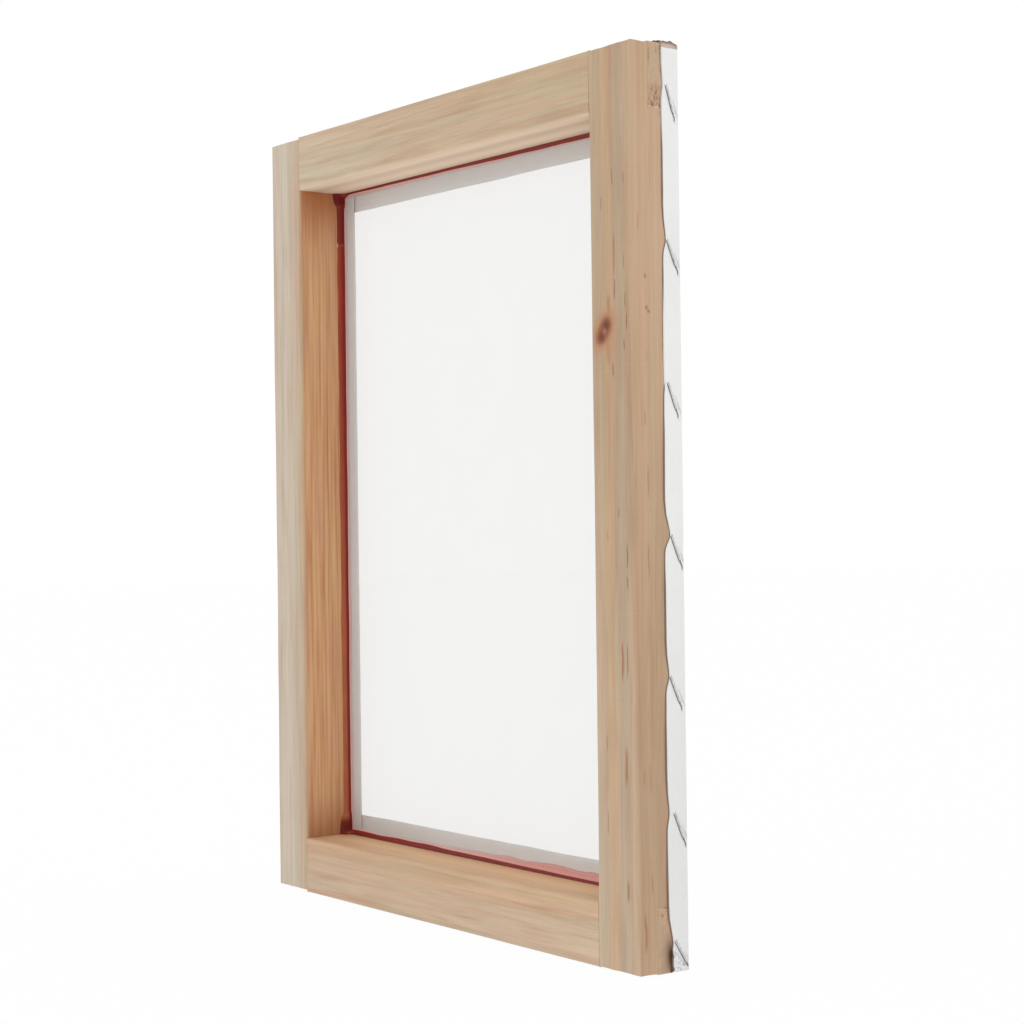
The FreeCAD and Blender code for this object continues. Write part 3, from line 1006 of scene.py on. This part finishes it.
def mesh_point(u, v):
    """Where a point of the flat mesh goes, and the numbers its material reads there."""
    right, top = math.copysign(1, u), math.copysign(1, v)
    past_x, past_z = max(0, abs(u) - PANEL_X), max(0, abs(v) - PANEL_Z)
    side, end = ("right" if right > 0 else "left"), ("top" if top > 0 else "bottom")
    out_x = out_z = 0
    marks = {"staple_aside": FAR, "past_staple": 0, "ear": 0, "dark_hem": 0}
    if past_x > 0 and past_z > 0:
        out_x, out_z, depth = corner_point(past_x, past_z, right, top)
        marks["ear"] = 1 if top > 0 else -smooth(0, 0.8, min(past_x, past_z))
        marks["dark_hem"] = hem_darkness(side, MIDDLE_Z + v)
    elif past_x > 0 or past_z > 0:
        flap, place, past = (side, MIDDLE_Z + v, past_x) if past_x > 0 else (end, u, past_z)
        out, depth = wrap(trimmed(past, along_side(flap, place)))
        out += flap_relief(flap, place, past, depth)
        marks["staple_aside"], marks["past_staple"] = beside_staple(flap, place, depth)
        marks["dark_hem"] = hem_darkness(flap, place)
        if past_x > 0:
            out_x = out
            marks["ear"] = smooth(PANEL_Z - EAR_HEAD, PANEL_Z, v)
        else:
            out_z = out
    else:
        depth = wrap(0)[1]
    marks["raw_edge"] = OVERHANG - max(past_x, past_z)
    x = right * (min(abs(u), PANEL_X) + out_x)
    z = MIDDLE_Z + top * (min(abs(v), PANEL_Z) + out_z)
    return Vector((x, depth, z)), marks


def overhang_lines():
    """Lengths past the panel's edge at the grid lines of a flap."""
    on_arc = [ARC_LENGTH * step / 5 for step in range(1, 6)]
    on_face = [ARC_LENGTH + LEG * step / 19 for step in range(1, 20)]
    return on_arc + on_face


def mesh_lines(half, places, fine_step, before, after):
    """Grid lines across the flat mesh, closer beside the staples."""
    fine = [(place - before, place + after) for place in places]
    inside = grid_lines((-half, half - EAR_HEAD, half), 6, fine, fine_step)
    past = overhang_lines()
    return [-half - length for length in reversed(past)] + inside + [half + length for length in past]


def crease_shadows(graph, y):
    """The dark thin lines of the mesh round the staples, painted shadow in its folds and in the gaps
    beside the wires: 0 to 1.
    """
    aside, past = graph.attribute("staple_aside"), graph.attribute("past_staple")
    wobble = graph.noise((past, aside, 0), (1 / 0.35, 1, 1), detail=3)
    kinked = wobble.scaled(2.4, aside - 1.2)
    tail = graph.falloff((kinked, 0, 0.3)) * past.between(-0.9, 0.2)
    tail = tail * past.between(0.5 * TAIL, TAIL, 0.9, 0)
    gap = graph.falloff((abs(aside), 0.5 * WIRE_WIDTH + 0.12, 0.17))
    gap = gap * past.between(-0.3, 0.5, 0.65, 0) * past.between(CROWN_START - 0.4, CROWN_START + 0.4)
    faint = graph.falloff((kinked, 1.9, 0.45)) * past.between(-7, -2, 0, 0.3) * past.between(1, 8, 1, 0)
    on_flap = y.between(HALF_DEPTH - 1.2, HALF_DEPTH - 0.5, 1, 0)
    return tail.at_least(gap.at_least(faint)) * on_flap


def woven_mesh():
    """Fine white polyester gauze: open over the well, soaked with glue where it lies on timber."""
    graph = Graph("woven_mesh")
    x, y, z = point = graph.place()
    threads_x, threads_z, threads_y = [
        graph.math("SINE", part * (2 * math.pi / WEAVE_PITCH)).scaled(0.5, 0.5) for part in (x, z, y)]
    normal = graph.normal()

    def blend(share, first, second):
        return (1 - share).scaled(first, share * second)

    weft = blend(abs(normal[0]).between(0.4, 0.6), threads_x, threads_y)
    warp = blend(abs(normal[2]).between(0.4, 0.6), threads_z, threads_y)
    weave = weft.at_least(warp)
    off_x = abs(x).between(OPEN_X - 0.1, OPEN_X + 0.1)
    below = z.between(OPEN_LOW - 0.1, OPEN_LOW + 0.1, 1, 0)
    above = z.between(OPEN_HIGH - 0.1, OPEN_HIGH + 0.1)
    backed = off_x.at_least(below.at_least(above))

    wisp = graph.noise(point, (9, 9, 22), detail=3)
    glued = graph.mix(wisp, tone(238, 239, 237), tone(247, 247, 246))
    glued = glued.under(tone(205, 206, 206), z.between(0, 260, 0.3, 0))
    open_cloth = graph.mix(wisp, tone(204, 204, 201), tone(214, 214, 212))
    colour = open_cloth.under(glued, backed)
    colour = colour.under(tone(170, 170, 168), weave.between(0.2, 0.9, 0.08, 0))
    # Painted shadow in the mesh's folds and gaps round the staples.
    colour = colour.under(tone(62, 62, 60), crease_shadows(graph, y))

    ear = graph.attribute("ear")
    soaked = graph.noise(point, (2.5, 2.5, 1.2), 5, detail=3)
    # The ears are stained brown, and painted shade darkens them over the top edge and towards the back.
    fold_shade = z.between(HEIGHT - 1, HEIGHT + 1.2) + y.between(9, HALF_DEPTH, 0, 0.5)
    brown = graph.mix(soaked.scaled(0.7, fold_shade - 0.35), tone(206, 182, 162), tone(124, 108, 98))
    colour = colour.under(brown, ear.between(0.3, 0.8, 0, 0.95))
    specks = graph.noise(point, (0.8, 0.8, 0.8), 9)
    crumple = ear.between(-0.8, -0.3, 1, 0) * specks.between(0.55, 0.66)
    colour = colour.under(tone(96, 100, 104), crumple * 0.7)
    # The flap's cut edge is drawn dark brown.
    hem = graph.attribute("raw_edge").between(0.45, 0.95, 1, 0) * graph.attribute("dark_hem")
    colour = colour.under(tone(112, 78, 60), hem)
    alpha = blend(backed, weave.between(0.1, 0.95, 0.25, 0.33), weave.between(0.1, 0.9, 0.86, 0.97))
    return graph.finish(
        Base_Color=colour, Roughness=0.6, Specular_IOR_Level=0.2, Alpha=alpha,
        Normal=graph.bump(weave, 0.02))


def make_mesh():
    """One continuous piece of mesh over the back, the four outer faces and the corner ears."""
    upright = [staple[0].z - MIDDLE_Z for staple in STAPLES["right"]]
    level = [staple[0].x for staple in STAPLES["top"]]
    us = mesh_lines(PANEL_X, level, fine_step=1.2, before=9, after=13)
    vs = mesh_lines(PANEL_Z, upright, fine_step=0.5, before=16, after=9)
    placed = [mesh_point(u, v) for v in vs for u in us]
    width, faces = len(us), []
    for row in range(len(vs) - 1):
        for column in range(width - 1):
            a = row * width + column
            corners = (a + 1, a, a + width, a + width + 1)
            in_corner = min(abs(us[column] + us[column + 1]) / 2 - PANEL_X,
                            abs(vs[row] + vs[row + 1]) / 2 - PANEL_Z) > 0
            if not in_corner:
                faces.append(corners)
                continue
            first = 1 if us[column] * vs[row] > 0 else 0   # so that the split follows the ear's fold
            turned = corners[first:] + corners[:first]
            faces += [turned[:3], (turned[2], turned[3], turned[0])]
    item = new_piece("woven_mesh", [point for point, _ in placed], faces, woven_mesh())
    for name in placed[0][1]:
        paint_points(item, name, [marks[name] for _, marks in placed])
    place_piece(item, "screen_mesh", "mesh_panel", *(f"mesh_flap_{side}" for side in SIDES))
    flat = (2 * (PANEL_X + OVERHANG) * MM, 2 * (PANEL_Z + OVERHANG) * MM)


# ---- glue bead

BEAD_STEP = 1
BEAD_INTO_WOOD = 0.12
BEAD_CORNER = (6.8, 2.4, 1)    # the blob in each corner, in the order of bead_size
BLOB_LOW, BLOB_HIGH = 11, 6.8  # how far the left stile's blobs reach from its two corners
BEAD_BREAK = 356.6             # where the left stile's run starts again, darker above


def bead_size(side, place, corner_gap):
    """(up the timber, onto the mesh, film beyond) of the bead at a place along one side."""
    run_seed = {"left": 1, "top": 2, "right": 3, "bottom": 4}[side]
    rightward = smooth(-OPEN_X, OPEN_X, place)
    size = {
        "left": (4.3, 1.3, 1.9), "right": (4, 1.4, 0.8),
        "top": (0.7 + 0.8 * rightward, 0.9 + 1.3 * rightward, 1.6 - 1.2 * rightward),
        "bottom": (1.1, 2.8 - 1.8 * rightward, 0.9 + 2.8 * smooth(-OPEN_X / 2, OPEN_X / 3, place)),
    }[side]
    wave = 0.07 * drift(run_seed, place / 24)
    up, onto = size[0] * (1 + wave), size[1] * (1 + 2 * wave)
    film = size[2] * (1 + 0.22 * drift(run_seed + 9, place / 22) + 0.06 * drift(run_seed, place / 5))
    near = bell(corner_gap, 3.4)
    if side == "left":
        up -= 1 * bell(place - BEAD_BREAK, 0.9)
        reach = BLOB_LOW if place < MIDDLE_Z else BLOB_HIGH
        near = math.sqrt(max(0, 1 - (corner_gap / reach) ** 2))
    return [mean * (1 - near) + blob * near for mean, blob in zip((up, onto, film), BEAD_CORNER)]


def bead_section(up, onto, film):
    """The bead's outline as (inward from the timber's face, forward from the mesh)."""
    steps = 9
    outline = [(-BEAD_INTO_WOOD, up)]
    for step in range(steps + 1):
        angle = math.pi / 2 * step / steps
        outline.append((onto * math.sin(angle) ** 1.6, up * math.cos(angle) ** 1.2 + 0.07))
    outline.append((onto + 0.6 * film, 0.09))
    outline.append((onto + film, 0.03))
    outline.append((onto + film, -0.02))
    outline.append((-BEAD_INTO_WOOD, -0.02))
    return outline


def red_glue():
    """Dried red adhesive: a pink film on the mesh, dark beside it and browner up the timber."""
    graph = Graph("red_glue")
    x, y, z = point = graph.place()
    rise = graph.attribute("rise")
    cloudy = graph.noise(point, (3, 3, 14), detail=3)
    level = rise * cloudy.scaled(0.5, 0.75)
    colour = graph.ramp(level * (1 / 5), [
        (0, tone(184, 124, 120)), (0.015, tone(208, 152, 144)), (0.04, tone(170, 74, 68)),
        (0.09, tone(132, 38, 34)), (0.2, tone(120, 46, 42)), (0.32, tone(128, 40, 34)),
        (0.5, tone(144, 52, 38)), (0.8, tone(152, 66, 44)), (0.95, tone(176, 98, 70)),
    ])
    faded = x.between(-40, 60, 1, 0).at_least(z.between(200, 260))
    colour = colour.under(tone(208, 188, 182), faded * rise.between(0.04, 0.25, 0.6, 0))
    on_stile = abs(x).between(OPEN_X - 4, OPEN_X - 2.5) * rise.between(0.3, 0.8)
    worn = z.between(90, 310, 0.95, 0) * rise.between(1.2, 2.4) * on_stile
    colour = colour.under(graph.mix(cloudy, tone(150, 76, 48), tone(180, 108, 72)), worn)
    above_break = on_stile * z.between(BEAD_BREAK - 0.3, BEAD_BREAK + 0.5)
    colour = colour.under(tone(104, 28, 24), above_break * 0.6)
    near_low = z.between(OPEN_LOW + 6, OPEN_LOW + BLOB_LOW, 1, 0)
    near_high = z.between(OPEN_HIGH - BLOB_HIGH - 0.5, OPEN_HIGH - BLOB_HIGH + 1)
    colour = colour.under(tone(104, 20, 15), on_stile * near_low.at_least(near_high) * 0.9)
    colour = add_washes(graph, colour, point, [
        ((-OPEN_X, HALF_DEPTH - 1.2, BEAD_BREAK), (2.5, 1.4, 0.6), 0.7, tone(168, 88, 86))])
    return graph.finish(
        Base_Color=colour, Roughness=cloudy.between(0.35, 0.65, 0.38, 0.5),
        Specular_IOR_Level=0.15, Normal=graph.bump(cloudy, 0.1))


def make_bead():
    """One closed run of glue round the inside corner of timber and mesh."""
    wide, tall = 2 * OPEN_X, OPEN_HIGH - OPEN_LOW
    runs = {   # where each side starts, the way it runs, the way to the middle, and its length
        "bottom": ((-OPEN_X, 0, OPEN_LOW), (1, 0, 0), (0, 0, 1), wide),
        "right": ((OPEN_X, 0, OPEN_LOW), (0, 0, 1), (-1, 0, 0), tall),
        "top": ((OPEN_X, 0, OPEN_HIGH), (-1, 0, 0), (0, 0, -1), wide),
        "left": ((-OPEN_X, 0, OPEN_HIGH), (0, 0, -1), (1, 0, 0), tall),
    }
    points, rise, sections = [], [], 0
    for side, (start, along, inward, length) in runs.items():
        start, along, inward = Vector(start), Vector(along), Vector(inward)
        steps = round(length / BEAD_STEP)
        sections += steps
        for step in range(steps):
            share = step / steps
            place = (start + along * (share * length))[SIDES[side][1]]
            gap = min(share, 1 - share) * length
            for inner, forward in bead_section(*bead_size(side, place, gap)):
                travel = inner + share * (length - 2 * inner)
                point = start + along * travel + inward * inner
                point.y = HALF_DEPTH - forward
                points.append(point)
                rise.append(forward)
    faces = grid_faces(sections, len(points) // sections, tube=True, ring=True)
    item = new_piece("glue_run", points, faces, red_glue())
    paint_points(item, "rise", rise)
    place_piece(item, "red_glue", "glue_bead")


# ---- tape


def paper_tape():
    """Matt gummed paper tape with faint fibres and creases, and a patch of painted shade on the bottom
    strip's left part.
    """
    graph = Graph("gummed_tape")
    point = graph.place()
    mottle = graph.noise(point, (7, 7, 7), detail=4)
    fibre = graph.noise(point, (0.4, 0.4, 2), 2, detail=4, roughness=0.7)
    colour = graph.mix(mottle, tone(218, 214, 212), tone(227, 224, 222))
    colour = colour.tinted(graph.grey(fibre.between(0.3, 0.7, 0.95, 1.03)))
    # Painted shade: a soft darker patch on the bottom strip's left part.
    colour = add_washes(graph, colour, point, [
        ((-0.8 * OPEN_X, HALF_DEPTH, OPEN_LOW), (60, 9, 14), 0.6, tone(186, 180, 175))])
    return graph.finish(Base_Color=colour, Roughness=0.75, Specular_IOR_Level=0.2,
                        Normal=graph.bump(mottle.scaled(1.5, fibre * 0.4), 0.06))


def tape_strip(side, material):
    """One strip: flat against the mesh, its outer face faintly wrinkled and its ends hand cut."""
    node = f"sealing_tape_{side}"
    low, high = box_mm(node)
    run = SIDES[side][1]
    across = 2 - run
    columns = 19
    width = high[across] - low[across]
    wide = [low[across] + width * step / (columns - 1) for step in range(columns)]
    long = grid_lines((low[run], high[run]), 3)
    seed = {"left": 31, "right": 32, "top": 33, "bottom": 34}[side]
    points = []
    for outer in (False, True):
        for place in long:
            for line in wide:
                point = Vector((0, low.y, 0))
                point[across], point[run] = line, place
                if place in (long[0], long[-1]):
                    point[run] += 0.5 * drift(seed, line / 9) * (1 if place == long[0] else -1)
                if line in (wide[0], wide[-1]):
                    point[across] += 0.12 * drift(seed + 1, place / 25)
                if outer:
                    bubble = max(0, drift(seed + 2, place / 14, line / 7) - 0.25)
                    point.y = high.y + 0.25 * bubble + 0.02 * drift(seed, place / 3, line / 3)
                points.append(point)
    rows = len(long)
    layer = columns * rows
    faces = grid_faces(rows, columns)
    faces += [tuple(number + layer for number in reversed(face)) for face in faces]
    rim = list(range(columns))
    rim += [row * columns + columns - 1 for row in range(1, rows)]
    rim += [(rows - 1) * columns + column for column in reversed(range(columns - 1))]
    rim += [row * columns for row in reversed(range(1, rows - 1))]
    faces += [(end, start, start + layer, end + layer) for start, end in zip(rim, rim[1:] + rim[:1])]
    if run == 0:
        faces = [face[::-1] for face in faces]
    place_piece(new_piece(f"tape_{side}", points, faces, material), "sealing_tape", node)


def make_tape():
    material = paper_tape()
    for side in SIDES:
        tape_strip(side, material)


# ---- stage, light and camera

CAMERA_LENS = 73.81     # mm, on a sensor 36 mm wide
CAMERA_DISTANCE = 1059  # mm from the point it looks at
CAMERA_AZIMUTH = math.radians(53.34)
CAMERA_ELEVATION = math.radians(-0.29)
CAMERA_ROLL = math.radians(-0.70)
LOOK_AT = Vector((16.5, 22.1, 206.6))


def make_camera():
    """Looks at the frame from the right of its open side, as level as the floor."""
    data = bpy.data.cameras.new("camera")
    data.lens = CAMERA_LENS
    data.clip_end = 50
    camera = bpy.data.objects.new("camera", data)
    bpy.context.scene.collection.objects.link(camera)
    level, rise = math.cos(CAMERA_ELEVATION), math.sin(CAMERA_ELEVATION)
    back = Vector((math.sin(CAMERA_AZIMUTH) * level, -math.cos(CAMERA_AZIMUTH) * level, rise))
    camera.location = (LOOK_AT + back * CAMERA_DISTANCE) * MM
    turn = (-back).to_track_quat("-Z", "Y").to_matrix() @ Matrix.Rotation(CAMERA_ROLL, 3, "Z")
    camera.rotation_euler = turn.to_euler()
    bpy.context.scene.camera = camera


def make_floor():
    """A plain pale floor under the frame, as bright as the backdrop."""
    graph = Graph("pale_floor")
    material = graph.finish(
        Base_Color=(0.04, 0.04, 0.04, 1), Roughness=0.9, Specular_IOR_Level=0,
        Emission_Color=(1, 1, 1, 1), Emission_Strength=0.955)
    reach = 6000
    level = cad_low.z / MM
    corners = [(reach * x, reach * y, level) for x, y in ((-1, -1), (1, -1), (1, 1), (-1, 1))]
    new_piece("floor", corners, [(0, 1, 2, 3)], material, False)


def soft_light(name, place, size, power):
    """A square softbox at a place in millimetres, turned to the middle of the frame."""
    data = bpy.data.lights.new(name, "AREA")
    data.shape = "SQUARE"
    data.size = size * MM
    data.energy = power
    light = bpy.data.objects.new(name, data)
    bpy.context.scene.collection.objects.link(light)
    light.location = Vector(place) * MM
    towards = Vector((0, 0, HEIGHT / 2)) - Vector(place)
    light.rotation_euler = towards.to_track_quat("-Z", "Y").to_euler()


def make_light():
    """A white surround, with a softbox in front."""
    world = bpy.data.worlds.new("white_surround")
    world.use_nodes = True
    backdrop = world.node_tree.nodes["Background"]
    backdrop.inputs["Color"].default_value = (1, 1, 1, 1)
    backdrop.inputs["Strength"].default_value = 1
    bpy.context.scene.world = world
    bpy.context.scene.view_settings.view_transform = "Standard"
    soft_light("front_softbox", (-500, -1500, 900), 900, 3)


make_timber()
make_staples()
make_mesh()
make_bead()
make_tape()
make_floor()
make_light()
make_camera()
